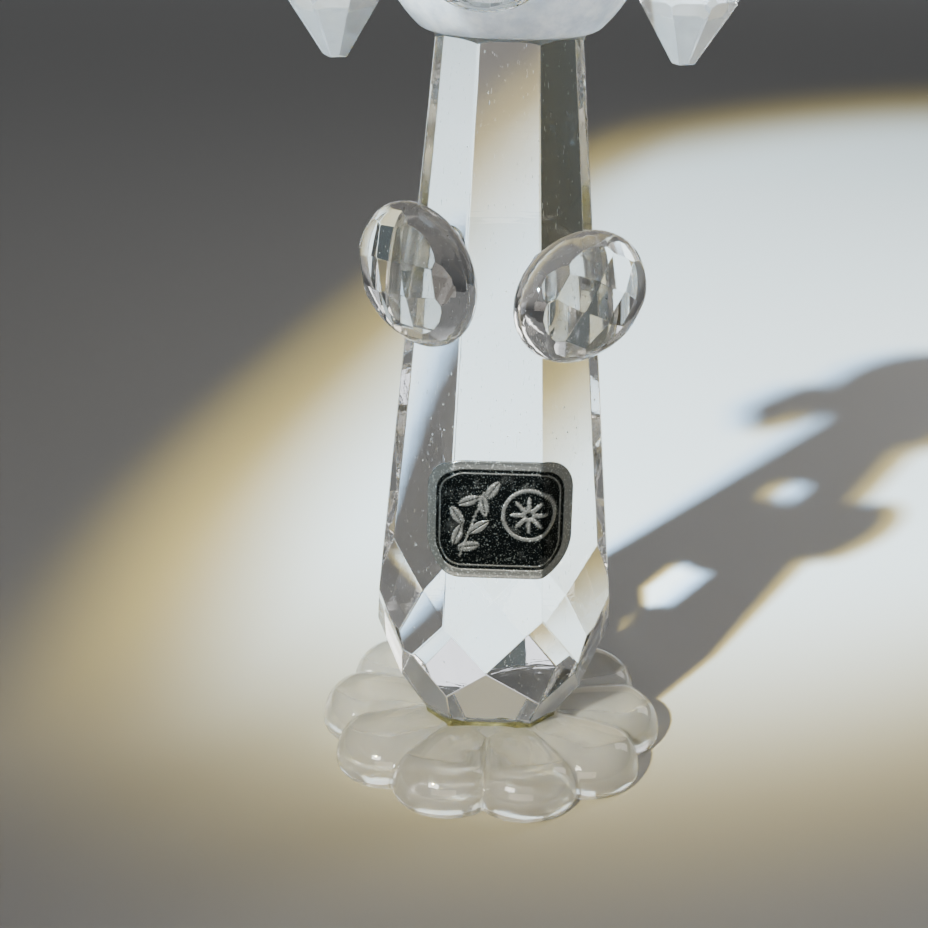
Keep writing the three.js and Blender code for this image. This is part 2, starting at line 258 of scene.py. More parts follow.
def node(tree, kind, inputs=None, **settings):
    made = tree.nodes.new(kind)
    for key, value in settings.items():
        setattr(made, key, value)
    for key, value in (inputs or {}).items():
        feed(tree, made.inputs[key], value)
    return made


def object_coordinates(tree):
    return node(tree, "ShaderNodeTexCoord").outputs["Object"]


def in_millimetres(tree, scale=(1, 1, 1), **turn_and_shift):
    """Object coordinates in millimetres, stretched by `scale`."""
    inputs = {"Vector": object_coordinates(tree), "Scale": [s / MM for s in scale]}
    inputs.update(turn_and_shift)
    return node(tree, "ShaderNodeMapping", inputs).outputs["Vector"]


def noise_value(tree, vector, scale, detail=2.0, roughness=0.5, distortion=0.0):
    inputs = {
        "Vector": vector,
        "Scale": scale,
        "Detail": detail,
        "Roughness": roughness,
        "Distortion": distortion,
    }
    return node(tree, "ShaderNodeTexNoise", inputs).outputs["Fac"]


def cell_distance(tree, vector, scale):
    """The distance to the nearest of many scattered points."""
    inputs = {"Vector": vector, "Scale": scale, "Randomness": 1.0}
    return node(tree, "ShaderNodeTexVoronoi", inputs).outputs["Distance"]


def remap(tree, value, low, high, to_low=0.0, to_high=1.0):
    inputs = {0: value, 1: low, 2: high, 3: to_low, 4: to_high}
    return node(tree, "ShaderNodeMapRange", inputs, clamp=True).outputs[0]


def math_node(tree, operation, *values):
    return node(tree, "ShaderNodeMath", dict(enumerate(values)), operation=operation).outputs[0]


def mix_colour(tree, factor, a, b):
    """Colours `a` and `b`, of red, green and blue or a socket, mixed by a factor."""
    a, b = (c if isinstance(c, bpy.types.NodeSocket) else (*c, 1.0) for c in (a, b))
    return node(tree, "ShaderNodeMix", {0: factor, 6: a, 7: b}, data_type="RGBA").outputs[2]


def finish(tree, shader, heights, colour=None, rough=None):
    """Links a colour and a roughness, and stacks bumps of (height socket, depth in metres)."""
    if colour is not None:
        tree.links.new(colour, shader.inputs["Base Color"])
    if rough is not None:
        tree.links.new(rough, shader.inputs["Roughness"])
    normal = None
    for height, depth in heights:
        inputs = {"Height": height, "Distance": depth, "Strength": 1.0}
        if normal is not None:
            inputs["Normal"] = normal
        normal = node(tree, "ShaderNodeBump", inputs).outputs["Normal"]
    tree.links.new(normal, shader.inputs["Normal"])


# ------------------------------------------------------------------ materials

# In these functions a texture's scale is in cycles per millimetre.
SCRATCH_STRETCH = (7.0, 7.0, 0.4)  # scratches are about 18 times as long as wide
SCRATCH_LAYERS = ((0.5, 3.0), (-0.8, 11.0))  # turn in radians and shift of each set
SCRATCH_DEPTH = 0.004 * MM
SPECK_SCALE = 0.55


def scratches(tree):
    """Sparse hairline scratches and specks: 1 on a mark, 0 elsewhere."""
    at = in_millimetres(tree)
    cells = cell_distance(tree, at, SPECK_SCALE)
    specks = remap(tree, cells, 0.06, 0.09, 1.0, 0.0)
    handled = remap(tree, noise_value(tree, at, 0.12), 0.52, 0.6)
    marks = math_node(tree, "MULTIPLY", specks, handled)
    for turn, shift in SCRATCH_LAYERS:
        along = in_millimetres(
            tree, SCRATCH_STRETCH, Location=(shift,) * 3, Rotation=(0.2, turn, 0.4)
        )
        streaks = noise_value(tree, along, 1.0, detail=1.0, distortion=0.5)
        marks = math_node(tree, "MAXIMUM", marks, remap(tree, streaks, 0.765, 0.775))
    return marks


def wiping_arcs(tree):
    """Long faint arcs left by polishing, like very fine growth rings across a facet."""
    inputs = {
        "Vector": in_millimetres(tree),
        "Scale": 0.42,
        "Distortion": 3.0,
        "Detail": 2.0,
        "Detail Scale": 0.3,
    }
    settings = {"wave_type": "RINGS", "rings_direction": "SPHERICAL"}
    rings = node(tree, "ShaderNodeTexWave", inputs, **settings).outputs["Fac"]
    return remap(tree, rings, 0.6, 1.0)


def crystal_material(name, wave):
    """Clear lead crystal: faintly wavy hand-polished facets, hairline scratches, finger marks."""
    material, tree, shader = material_tree(
        name,
        {
            "Base Color": (0.985, 0.99, 1.0, 1.0),
            "Transmission Weight": 1.0,
            "IOR": 1.545,
        },
    )
    at = in_millimetres(tree)
    wide = noise_value(tree, at, 0.16, detail=1.0)
    polish = noise_value(tree, in_millimetres(tree, (1, 1, 0.05)), 2.2)
    finger_marks = noise_value(tree, at, 0.35, detail=4.0, roughness=0.6)
    smear = remap(tree, finger_marks, 0.5, 0.72, 0.0, 0.045)
    lines = scratches(tree)
    heights = [
        (wide, wave * 6),
        (polish, wave * 0.25),
        (wiping_arcs(tree), wave * 0.1),
        (lines, -SCRATCH_DEPTH),
    ]
    rough = math_node(tree, "MULTIPLY_ADD", lines, 0.5, smear)
    finish(tree, shader, heights, rough=rough)
    return material


def pressed_glass_material():
    """Pressed glass: slightly warm and hazy, with the soft ripples and pits a mould leaves."""
    material, tree, shader = material_tree(
        "pressed_glass", {"Transmission Weight": 0.83, "IOR": 1.5}
    )
    at = in_millimetres(tree)
    cloud = noise_value(tree, at, 0.5, detail=3.0)
    ripple = noise_value(tree, at, 0.3, detail=1.0)
    pits = noise_value(tree, at, 2.6)
    finish(
        tree,
        shader,
        [(ripple, 0.05 * MM), (pits, 0.004 * MM)],
        colour=mix_colour(tree, cloud, (0.975, 0.97, 0.95), (1.0, 0.995, 0.98)),
        rough=remap(tree, cloud, 0.35, 0.75, 0.02, 0.09),
    )
    return material


def milky_material():
    """Ear glass: clear but clouded inside, with a bluish white."""
    material, tree, shader = material_tree(
        "milky_glass", {"Transmission Weight": 0.76, "IOR": 1.52}
    )
    cloud = noise_value(tree, in_millimetres(tree, (1, 1, 0.4)), 0.5, detail=3.0)
    wide = noise_value(tree, in_millimetres(tree), 0.25, detail=1.0)
    finish(
        tree,
        shader,
        [(wide, 0.03 * MM)],
        colour=mix_colour(tree, cloud, (0.86, 0.92, 1.0), (0.98, 0.99, 0.97)),
        rough=remap(tree, cloud, 0.35, 0.7, 0.05, 0.2),
    )
    return material


def frosted_material():
    """Etched ball: white, matt, with light passing through its rim and a fine etched grain."""
    material, tree, shader = material_tree(
        "frosted_glass",
        {
            "Transmission Weight": 0.4,
            "IOR": 1.5,
            "Roughness": 0.55,
            "Subsurface Weight": 1.0,
            "Subsurface Radius": (1.0, 1.0, 1.0),
            "Subsurface Scale": 12 * MM,
        },
    )
    at = in_millimetres(tree)
    cloud = remap(tree, noise_value(tree, at, 0.35, detail=5.0, roughness=0.65), 0.35, 0.65)
    grain = noise_value(tree, at, 9.0, detail=3.0, roughness=0.6)
    dimples = cell_distance(tree, at, 0.14)
    finish(
        tree,
        shader,
        [(dimples, 0.16 * MM), (grain, 0.03 * MM)],
        colour=mix_colour(tree, cloud, (0.66, 0.69, 0.74), (0.98, 0.98, 0.99)),
    )
    return material


def glue_material(name, colour, roughness, uneven=1.0):
    """Hardened adhesive: clear with a tint, uneven, with small trapped bubbles."""
    material, tree, shader = material_tree(
        name, {"Base Color": (*colour, 1.0), "Transmission Weight": 0.95, "IOR": 1.48}
    )
    at = in_millimetres(tree)
    cloud = noise_value(tree, at, 0.8, detail=3.0)
    bubbles = remap(tree, cell_distance(tree, at, 1.6), 0.12, 0.2, 1.0, 0.0)
    finish(
        tree,
        shader,
        [(cloud, 0.06 * MM * uneven), (bubbles, 0.03 * MM * uneven)],
        rough=remap(tree, cloud, 0.3, 0.7, roughness, roughness + 0.2 * uneven),
    )
    return material


def black_glass_material():
    """Black glass beads with a deep gloss and a few fine marks."""
    material, tree, shader = material_tree(
        "black_glass",
        {
            "Base Color": (0.006, 0.006, 0.007, 1.0),
            "IOR": 1.52,
            "Coat Weight": 0.6,
            "Coat Roughness": 0.03,
        },
    )
    marks = noise_value(tree, in_millimetres(tree), 1.4, detail=4.0)
    rough = remap(tree, marks, 0.45, 0.75, 0.04, 0.16)
    finish(tree, shader, [(marks, 0.01 * MM)], rough=rough)
    return material


def foil_material():
    """Printed foil: a dark speckled lacquer over silver, which shows bare where it is embossed."""
    material, tree, shader = material_tree("foil", {"Metallic": 0.9})
    embossed = node(tree, "ShaderNodeAttribute", attribute_name="silver").outputs["Fac"]
    at = in_millimetres(tree)
    speckle = remap(tree, noise_value(tree, at, 5.0), 0.56, 0.7)
    rubbed = remap(
        tree, noise_value(tree, at, 0.5, detail=4.0, roughness=0.65), 0.55, 0.75, 0.0, 0.35
    )
    lacquer = mix_colour(tree, speckle, (0.010, 0.013, 0.014), (0.16, 0.17, 0.165))
    silver = mix_colour(tree, speckle, (0.30, 0.30, 0.29), (0.62, 0.62, 0.60))
    finish(
        tree,
        shader,
        [(noise_value(tree, at, 6.0), 0.012 * MM)],
        colour=mix_colour(tree, math_node(tree, "MAXIMUM", embossed, rubbed), lacquer, silver),
        rough=remap(tree, speckle, 0.0, 1.0, 0.32, 0.5),
    )
    return material


def wire_material():
    """Plated wire with fine drawing lines along it."""
    material, tree, shader = material_tree(
        "wire", {"Metallic": 1.0, "Base Color": (0.72, 0.71, 0.69, 1.0)}
    )
    drawn = noise_value(tree, in_millimetres(tree, (0.15, 3, 3)), 2.0, detail=3.0)
    rough = remap(tree, drawn, 0.3, 0.7, 0.18, 0.38)
    finish(tree, shader, [(drawn, 0.01 * MM)], rough=rough)
    return material


CRYSTAL = crystal_material("crystal", wave=0.004 * MM)
CRYSTAL_SMALL = crystal_material("crystal_small", wave=0.002 * MM)
PRESSED = pressed_glass_material()
MILKY = milky_material()
FROSTED = frosted_material()
YELLOW_GLUE = glue_material("glue_yellow", (0.93, 0.90, 0.45), roughness=0.06)
WHITE_GLUE = glue_material("glue_white", (0.90, 0.91, 0.90), roughness=0.35)
CLEAR_GLUE = glue_material("glue_clear", (0.99, 0.99, 0.97), roughness=0.0, uneven=0.08)
BLACK = black_glass_material()
WIRE = wire_material()
FOIL = foil_material()

# ------------------------------------------------------------------ foot

PETALS = 10
PETAL_COLUMNS = 28
PETAL_RINGS = 26  # along a petal's length
EDGE_RINGS = 4  # down the rounded lower edge
VALLEY_TURN = -1.8  # azimuth in degrees of the valley nearest the front
FOOT_RADIUS = 22.2 * MM
NOTCH_RADIUS = 0.8784 * FOOT_RADIUS
HUB_RADIUS = 0.419 * FOOT_RADIUS
HUB_FLAT = 0.96  # share of the hub that is level, inside its drop to the valleys
FOOT_TOP = high_z("foot_rosette")
HUB_Z = low_z("foot_glue")
CROWN_END = 0.45  # share of a petal's length at which its ridge is full height
VALLEY_LENGTH = 0.8  # share of a petal's length over which its valley runs out
VALLEY_END_Z = 3.9 * MM
VALLEY_START = 0.55 * MM  # depth of a valley where it leaves the hub
PETAL_FULLNESS = 0.992  # how near a petal's sides come to plumb in the valleys
EDGE_Z = 0.9 * MM
UNDERCUT = 0.5 * MM
ROUNDED_END = 0.7  # share of a petal's length at which its end starts to round off


def petal_outline(across):
    """The foot's radius at `across`, from -1 to 1 over one petal."""
    half = math.pi / PETALS
    rise = FOOT_RADIUS - NOTCH_RADIUS * math.cos(half)
    chord = NOTCH_RADIUS * math.sin(half)
    arc = (rise * rise + chord * chord) / (2 * rise)
    middle = FOOT_RADIUS - arc
    angle = across * half
    offset = middle * math.sin(angle)
    return middle * math.cos(angle) + math.sqrt(arc * arc - offset * offset)


def petal_height(along, across):
    """The height of the foot's top at a share of a petal's length and across it."""
    over = max(0.0, (along - ROUNDED_END) / (1 - ROUNDED_END))
    end = math.sqrt(max(0.0, 1 - over * over))
    crown = FOOT_TOP - HUB_Z
    ridge = HUB_Z + crown * math.sin(QUARTER * min(1.0, along / CROWN_END))
    start = HUB_Z - VALLEY_START
    valley = start + (VALLEY_END_Z - start) * min(1.0, along / VALLEY_LENGTH)
    bulge = math.sqrt(max(0.0, 1 - (PETAL_FULLNESS * across) ** 2))
    full = valley + (ridge - valley) * bulge
    return EDGE_Z + (full - EDGE_Z) * end


def foot():
    columns = PETALS * PETAL_COLUMNS
    stations = [
        (
            ((j % PETAL_COLUMNS) / PETAL_COLUMNS) * 2 - 1,
            direction(VALLEY_TURN + j * 360 / columns),
        )
        for j in range(columns)
    ]

    def ring(radius_at, height_at):
        return [
            Vector((out.x * radius_at(u), out.y * radius_at(u), height_at(u)))
            for u, out in stations
        ]

    rings = [
        ring(lambda u: HUB_RADIUS * HUB_FLAT, lambda u: HUB_Z),
        ring(lambda u: HUB_RADIUS, lambda u: petal_height(0, u)),
    ]
    for k in range(1, PETAL_RINGS):
        along = math.sin(QUARTER * k / PETAL_RINGS)
        rings.append(
            ring(
                lambda u: HUB_RADIUS + (petal_outline(u) - HUB_RADIUS) * along,
                lambda u: petal_height(along, u),
            )
        )
    rings.append(ring(petal_outline, lambda u: EDGE_Z))
    for k in range(1, EDGE_RINGS + 1):
        turn = QUARTER * k / EDGE_RINGS
        inset = UNDERCUT * (1 - math.cos(turn))
        drop = EDGE_Z * math.sin(turn)
        rings.append(ring(lambda u: petal_outline(u) - inset, lambda u: EDGE_Z - drop))
    bm = loft(rings, on_axis(HUB_Z), on_axis(0))
    new_piece("foot_pressed", bm, PRESSED, "foot_rosette")


foot()

# ------------------------------------------------------------------ body, paws, muzzle, ears

RIM_FACET = 3.2 * MM * MM  # facets of the oval stones smaller than this belong to their rim
BODY_EDGE, PAW_EDGE, MUZZLE_EDGE, EAR_EDGE = (e * MM for e in (0.12, 0.05, 0.04, 0.14))

polished_stone("body_prism", CRYSTAL, BODY_EDGE)
for side in SIDES:
    polished_stone(f"paw_{side}", CRYSTAL_SMALL, PAW_EDGE, smallest_flat=RIM_FACET)
    polished_stone(f"ear_{side}", MILKY, EAR_EDGE, body=f"{side}_ear")
polished_stone(
    "muzzle_stone", CRYSTAL_SMALL, MUZZLE_EDGE, smallest_flat=RIM_FACET / 3
)

# ------------------------------------------------------------------ glue

BODY_BASE = low_z("body_prism")
BODY_TOP = high_z("body_prism")
BODY_CORNERS = [math.radians(22.5 + 45 * k) for k in range(8)]
GLUE_COLUMNS = 240
GLUE_GAP = 0.02 * MM  # clear of the glass that it holds
BLOBS = ((238, 0.45), (293, 0.35), (80, 0.3))  # angle from +X in degrees, and size in mm
BLOB_WIDTH = 0.09  # radians
LAP_WIDTH = 0.12  # radians
WOBBLE_CIRCLE = 1.7  # radius of the circle on which a wobble reads the noise


def wobble(angle, seed, size):
    """A smooth repeatable wandering around a circle."""
    return noise.noise(around(WOBBLE_CIRCLE, angle, seed)) * size


def glue_rings(profile_at):
    """Rings round the axis, from the (radius, height) pairs that `profile_at` gives at an angle."""
    angles = [FULL * j / GLUE_COLUMNS for j in range(GLUE_COLUMNS)]
    columns = [[around(r, a, z) for r, z in profile_at(a)] for a in angles]
    return list(zip(*columns))


def foot_glue():
    """The glue line at the prism's base, squeezed out a little and thicker in a few blobs."""

    def profile_at(a):
        blob = sum(
            size * math.exp(-((turn_between(a, math.radians(at)) / BLOB_WIDTH) ** 2))
            for at, size in BLOBS
        )
        rise = (0.16 + 0.8 * blob + wobble(a * 3, 4.0, 0.2)) * MM
        spread = (0.14 + 0.7 * blob + wobble(a * 2, 9.0, 0.2)) * MM
        base = body_radius(a, BODY_BASE)
        return (
            (base + spread, HUB_Z + 2 * GLUE_GAP),
            (base + spread * 1.1, HUB_Z + 0.2 * MM),
            (body_radius(a, BODY_BASE + rise * 0.4) + spread * 0.55, BODY_BASE + rise * 0.35),
            (body_radius(a, BODY_BASE + rise) + 0.05 * MM, BODY_BASE + rise),
            (base + GLUE_GAP, BODY_BASE - GLUE_GAP / 2),
            (base * 0.6, BODY_BASE - GLUE_GAP),
        )

    start, end = on_axis(HUB_Z + 2 * GLUE_GAP), on_axis(BODY_BASE - GLUE_GAP)
    bm = loft(glue_rings(profile_at), start, end)
    new_piece("foot_glue_line", bm, YELLOW_GLUE, "foot_glue")


def neck_glue():
    """Glue under the ball, drawn down into points at the prism's long edges."""
    top = low_z("head_ball") - GLUE_GAP

    def profile_at(a):
        near = min(abs(turn_between(a, corner)) for corner in BODY_CORNERS)
        lap = (0.1 + 0.3 * math.exp(-near / LAP_WIDTH) + wobble(a * 2, 2.0, 0.08)) * MM
        low = BODY_TOP - lap
        edge = body_radius(a, BODY_TOP)
        return (
            (edge * 0.6, BODY_TOP + GLUE_GAP),
            (edge + GLUE_GAP, BODY_TOP + GLUE_GAP),
            (body_radius(a, low) + 0.03 * MM, low),
            (body_radius(a, low) + 0.12 * MM, low + 0.07 * MM),
            (edge + 0.22 * MM, BODY_TOP + 0.05 * MM),
            (edge + 0.45 * MM, top - 0.03 * MM),
            (edge + 0.35 * MM, top),
        )

    bm = loft(glue_rings(profile_at), on_axis(BODY_TOP + GLUE_GAP), on_axis(top))
    new_piece("neck_glue_cap", bm, WHITE_GLUE, "neck_glue")


foot_glue()
neck_glue()

PAD_ACROSS, PAD_UP = 4.3 * MM, 5.6 * MM
PAD_SQUARENESS = 0.5  # 1 is an ellipse and 0 a rectangle
PAD_COLUMNS = 96
PAD_SHARES = (0.2, 0.4, 0.6, 0.8, 0.92, 1.0)
PAD_CLEARANCE = 0.03 * MM
PAD_WAIST = 0.35  # depth of the hollow in its free edge, over the glue's thickness
PAD_SHARP = math.radians(25)


def squared(value):
    """A sine or cosine bent towards the side of a rounded rectangle."""
    return math.copysign(abs(value) ** PAD_SQUARENESS, value)


def paw_glue(side):
    """A clear pad between a paw's flat back and the prism, its free edge slightly hollow."""
    inward, middle = flat_back(f"paw_{side}")
    place = facing(-inward, middle)
    fronts, backs = [], []
    for share in PAD_SHARES:
        fronts.append([])
        backs.append([])
        for j in range(PAD_COLUMNS):
            a = FULL * j / PAD_COLUMNS
            reach = share * (1 - abs(wobble(a, 5.0, 0.06)) * share)
            x, y = squared(math.cos(a)), squared(math.sin(a))
            at = place @ Vector((PAD_ACROSS * reach * x, PAD_UP * reach * y, 0))
            fronts[-1].append(at + inward * PAD_CLEARANCE)
            backs[-1].append(drop_to_body(at, -inward) - inward * PAD_CLEARANCE)
    waist = [
        (front + back) / 2 + (middle - front).normalized() * (back - front).length * PAD_WAIST
        for front, back in zip(fronts[-1], backs[-1])
    ]
    start = middle + inward * PAD_CLEARANCE
    end = drop_to_body(middle, -inward) - inward * PAD_CLEARANCE
    bm = loft([*fronts, waist, *reversed(backs)], start, end)
    piece = new_piece(f"paw_glue_{side}_pad", bm, CLEAR_GLUE, f"paw_glue_{side}")
    piece.data.set_sharp_from_angle(angle=PAD_SHARP)


for side in SIDES:
    paw_glue(side)

# ------------------------------------------------------------------ foil label

LABEL_LOW, LABEL_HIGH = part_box("foil_label")
LABEL_MIDDLE = centre_of("foil_label")
LABEL_HALF = (LABEL_HIGH - LABEL_LOW) / 2
LABEL_CORNER = 4.4 * MM
LABEL_COLUMNS, LABEL_RINGS = 240, 70
FOIL_BACK, FOIL_FRONT = 0.11 * MM, 0.22 * MM  # from the prism's faces
EMBOSS = 0.05 * MM
CRINKLE = 0.012 * MM
CRINKLE_SCALE = 900  # cycles per metre
CURL = 0.05 * MM  # how far the outline lifts
CURL_WIDTH = 0.5 * MM
FOLD = 0.12 * MM  # how softly the foil goes round an edge
FRONT_PLANES = [(n, d) for n, d in BODY_PLANES if n.y < -0.3]
BORDER = ((0.0, 1.05 * MM), (1.45 * MM, 1.6 * MM))  # its broad and its fine line, from the edge
LEAVES = (  # middle of each leaf of the sprig, in mm from the label's middle, and its turn
    (-4.9, -1.9, 70), (-5.0, 0.5, 125), (-3.6, 2.3, 20), (-1.9, 1.7, 100), (-2.4, -0.9, 35),
    (-3.6, -3.3, 10), (-0.9, 3.6, 55),
)
LEAF_HALF_LENGTH, LEAF_HALF_WIDTH = 1.5 * MM, 0.62 * MM
STEM_X, STEM_Z, STEM_LEAN = -3.2 * MM, -0.5 * MM, 0.35
STEM_LOW, STEM_HIGH = -4.6 * MM, 3.4 * MM
MEDAL_X, MEDAL_Z, MEDAL_RADIUS = 3.4 * MM, 0.7 * MM, 3.0 * MM
MEDAL_HALF_LINE = 0.22 * MM
STAR_POINTS = 8
STAR_HOLE, STAR_CORE, STAR_RAY = 0.35 * MM, 0.75 * MM, 1.5 * MM


def label_inset(x, z):
    """How far a point of the label, from its middle, is inside its rounded outline."""
    qx = abs(x) - (LABEL_HALF.x - LABEL_CORNER)
    qz = abs(z) - (LABEL_HALF.z - LABEL_CORNER)
    outside = math.hypot(max(qx, 0), max(qz, 0)) + min(max(qx, qz), 0)
    return LABEL_CORNER - outside


def foil_point(x, z, offset):
    """The point in front of (x, z) on a sheet that lies `offset` off the prism's front faces."""
    reaches = [(d + offset - n.x * x - n.z * z) / -n.y for n, d in FRONT_PLANES]
    nearest = min(reaches)
    softened = FOLD * math.log(sum(math.exp((nearest - r) / FOLD) for r in reaches))
    return Vector((x, -(nearest - softened), z))


def band(distance, low, high, soft=0.06 * MM):
    """1 between two distances, falling softly to 0 outside."""
    rising = smoothstep(low - soft, low + soft, distance)
    return rising * (1 - smoothstep(high - soft, high + soft, distance))


def leaf_at(x, z, leaf_x, leaf_z, leaf_turn):
    """How much of a leaf, with its bare vein, shows at a point of the label."""
    a = math.radians(leaf_turn)
    lx, lz = x - leaf_x * MM, z - leaf_z * MM
    along = lx * math.cos(a) + lz * math.sin(a)
    across = abs(-lx * math.sin(a) + lz * math.cos(a))
    half = LEAF_HALF_WIDTH * max(0.0, 1 - (along / LEAF_HALF_LENGTH) ** 2)
    vein = smoothstep(0.02 * MM, 0.1 * MM, across)
    return vein * (1 - smoothstep(half - 0.08 * MM, half + 0.02 * MM, across))


def silver_at(x, z):
    """How much of the foil's silver shows at a point of the label: its border and its ornament."""
    inset = label_inset(x, z)
    mx, mz = x - MEDAL_X, z - MEDAL_Z
    r = math.hypot(mx, mz)
    ray = abs(math.cos(STAR_POINTS / 2 * math.atan2(mz, mx)))
    stem = abs(x - STEM_X - STEM_LEAN * (z - STEM_Z))
    return max(
        *(band(inset, low, high) for low, high in BORDER),
        band(r, MEDAL_RADIUS - MEDAL_HALF_LINE, MEDAL_RADIUS + MEDAL_HALF_LINE),
        band(r, STAR_HOLE, STAR_CORE + STAR_RAY * ray**3),
        *(leaf_at(x, z, *leaf) for leaf in LEAVES),
        band(z, STEM_LOW, STEM_HIGH) * (1 - smoothstep(0.08 * MM, 0.16 * MM, stem)),
    )


def label_outline():
    """The label's outline from its middle, found by halving along each direction."""
    outline = []
    for j in range(LABEL_COLUMNS):
        a = FULL * j / LABEL_COLUMNS
        toward = Vector((math.cos(a), math.sin(a)))
        low, high = 0.0, 2 * LABEL_HALF.x
        for _ in range(30):
            mid = (low + high) / 2
            if label_inset(toward.x * mid, toward.y * mid) > 0:
                low = mid
            else:
                high = mid
        outline.append(toward * low)
    return outline


def label():
    """Embossed foil folded over the prism's edges: dark field, silver border, sprig and medal."""
    outline = label_outline()
    fronts, backs, silver = [], [], []
    for k in range(LABEL_RINGS):
        share = math.sin(QUARTER * (k + 1) / LABEL_RINGS) ** 0.9
        front, back = [], []
        for point in outline:
            x, z = point.x * share, point.y * share
            shown = silver_at(x, z)
            crinkle = noise.noise(Vector((x, z, 0)) * CRINKLE_SCALE) * CRINKLE
            curl = CURL * smoothstep(CURL_WIDTH, 0.0, label_inset(x, z))
            gx, gz = x + LABEL_MIDDLE.x, z + LABEL_MIDDLE.z
            front.append(foil_point(gx, gz, FOIL_FRONT + EMBOSS * shown + crinkle + curl))
            back.append(foil_point(gx, gz, FOIL_BACK))
            silver.append(shown)
        fronts.append(front)
        backs.append(back)
    start = foil_point(LABEL_MIDDLE.x, LABEL_MIDDLE.z, FOIL_FRONT)
    end = foil_point(LABEL_MIDDLE.x, LABEL_MIDDLE.z, FOIL_BACK)
    bm = loft([*fronts, *reversed(backs)], start, end)
    piece = new_piece("foil_label_embossed", bm, FOIL, "foil_label")
    bare_back = [1.0] * (LABEL_COLUMNS * LABEL_RINGS)
    values = silver + bare_back + [silver_at(0, 0), 1.0]
    piece.data.attributes.new("silver", "FLOAT", "POINT").data.foreach_set("value", values)


label()

# ------------------------------------------------------------------ head and beads

HEAD_LOW = low_z("head_ball")
HEAD_RADIUS = (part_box("head_ball")[1].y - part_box("head_ball")[0].y) / 2
HEAD_MIDDLE = on_axis(high_z("head_ball") - HEAD_RADIUS)
HEAD_RINGS, HEAD_COLUMNS = 64, 128
RIM_ROUNDING = 0.35 * MM
RIM_START = 0.03  # radians above the rim at which it starts to round off
BEAD_RINGS, BEAD_COLUMNS = 16, 64
BEAD_SEAT = 0.9  # radius of a bead's flat back, over its own
BEAD_GIRDLE = 0.12  # height of its widest place, over its depth


def head():
    """The etched ball with its ground flat and softened rim."""
    flat = HEAD_MIDDLE.z - HEAD_LOW
    rim_angle = math.acos(flat / HEAD_RADIUS)
    profile = [(0, HEAD_RADIUS)]
    for k in range(1, HEAD_RINGS):
        a = (math.pi - rim_angle - RIM_START) * k / (HEAD_RINGS - 1)
        profile.append((HEAD_RADIUS * math.sin(a), HEAD_RADIUS * math.cos(a)))
    rim = HEAD_RADIUS * math.sin(rim_angle)
    profile += [
        (rim - RIM_ROUNDING * 0.35, -flat + RIM_ROUNDING * 0.12),
        (rim - RIM_ROUNDING, -flat),
        (rim * 0.5, -flat),
        (0, -flat),
    ]
    bm = turned(profile, HEAD_COLUMNS, Matrix.Translation(HEAD_MIDDLE))
    new_piece("head_etched", bm, FROSTED, "head_ball")


def bead(node_name):
    """A domed bead on the face with a small flat back and a rounded girdle."""
    out = (centre_of(node_name) - HEAD_MIDDLE).normalized()
    low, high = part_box(node_name)
    radius = max(high - low) / 2
    facets = facets_of(node_name)
    points = [v.co.copy() for v in facets.verts]
    facets.free()
    heights = [p.dot(out) for p in points]
    depth = max(heights) - min(heights)
    base = [p for p, h in zip(points, heights) if h < min(heights) + 0.02 * MM]
    seat = sum(base, Vector()) / len(base)
    girdle = depth * BEAD_GIRDLE
    profile = [(0, 0), (radius * BEAD_SEAT, 0)]
    for k in range(BEAD_RINGS + 1):
        a = QUARTER * k / BEAD_RINGS
        profile.append((radius * math.cos(a), girdle + (depth - girdle) * math.sin(a)))
    bm = turned(profile, BEAD_COLUMNS, facing(out, seat))
    new_piece(f"{node_name}_polished", bm, BLACK, node_name)


head()
for name in ("nose_bead", "eye_left", "eye_right"):
    bead(name)

# ------------------------------------------------------------------ CAD nodes that stay

for name in ("ear_pin_left", "ear_pin_right"):
    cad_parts[name].data.materials[0] = WIRE
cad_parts["muzzle_glue"].data.materials[0] = CLEAR_GLUE

# ------------------------------------------------------------------ studio boards

GLASS_ONLY = ("camera", "shadow", "diffuse")  # a board hidden from these shows in the glass
FLOOR_Z = -0.05 * MM  # a hair under the foot, as glass never quite touches what it stands on
FLOOR_SIZE = 40.0
FLOOR_COLOUR = (0.74, 0.73, 0.71)
WALL_COLUMNS = 96


def studio_material(name, colour, glow=0.0):
    """Matt board, slightly uneven in tone, which may also shine by itself."""
    values = {"Roughness": 0.85}
    if glow:
        values.update({"Emission Color": (*colour, 1.0), "Emission Strength": glow})
    material, tree, shader = material_tree(name, values)
    fine = noise_value(tree, object_coordinates(tree), 60.0, detail=4.0)
    tint = mix_colour(tree, fine, [c * 0.97 for c in colour], colour)
    tree.links.new(tint, shader.inputs["Base Color"])
    return material


def stage_board(name, bm, colour, hidden=(), glow=0.0, smooth=False):
    """A part of the set, which rays of the kinds in `hidden` don't meet."""
    board = mesh_object(name, bm, studio_material(name, colour, glow), smooth)
    for kind in hidden:
        setattr(board, f"visible_{kind}", False)
    return board


def aimed(position, target, front):
    """A matrix at a position, whose axis `front` points at a target."""
    towards = Vector(target) - Vector(position)
    return Matrix.Translation(position) @ towards.to_track_quat(front, "Y").to_matrix().to_4x4()


def card(name, size, position, target, colour, hidden=(), glow=0.0):
    """A flat board that faces a point."""
    bm = bmesh.new()
    bmesh.ops.create_grid(bm, x_segments=1, y_segments=1, size=0.5)
    board = stage_board(name, bm, colour, hidden, glow)
    board.matrix_world = aimed(position, target, "Z") @ Matrix.Diagonal((*size, 1, 1))


